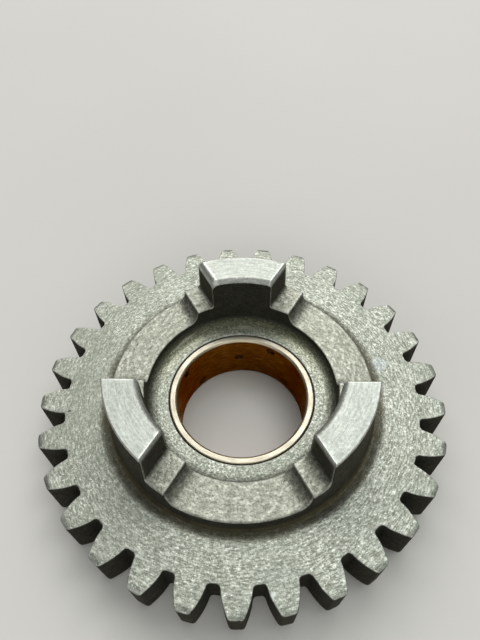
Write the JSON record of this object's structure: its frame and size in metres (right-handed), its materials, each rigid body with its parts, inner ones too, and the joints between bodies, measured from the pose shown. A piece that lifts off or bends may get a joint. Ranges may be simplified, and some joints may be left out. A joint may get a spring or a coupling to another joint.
{
  "type": "dog gear",
  "caption": "Spur gear for a constant-mesh gearbox, with face dogs on raised steps and a thin bronze bush in its bore.",
  "frame": {"origin": "on the bore axis, in the rear hub face that the gear rests on", "axes": "+Z along the bore axis towards the dogs; +Y through the centre of the first dog, which is also the centre of a tooth space"},
  "size_m": [0.062, 0.0619, 0.0197],
  "materials": {
    "gear_steel": "satin, fine blasted grain with turning marks",
    "bush_bronze": "machined"
  },
  "bodies": {
    "root": {"gear_wheel": "gear_steel", "bronze_bush": "bush_bronze"}
  },
  "joints": []
}
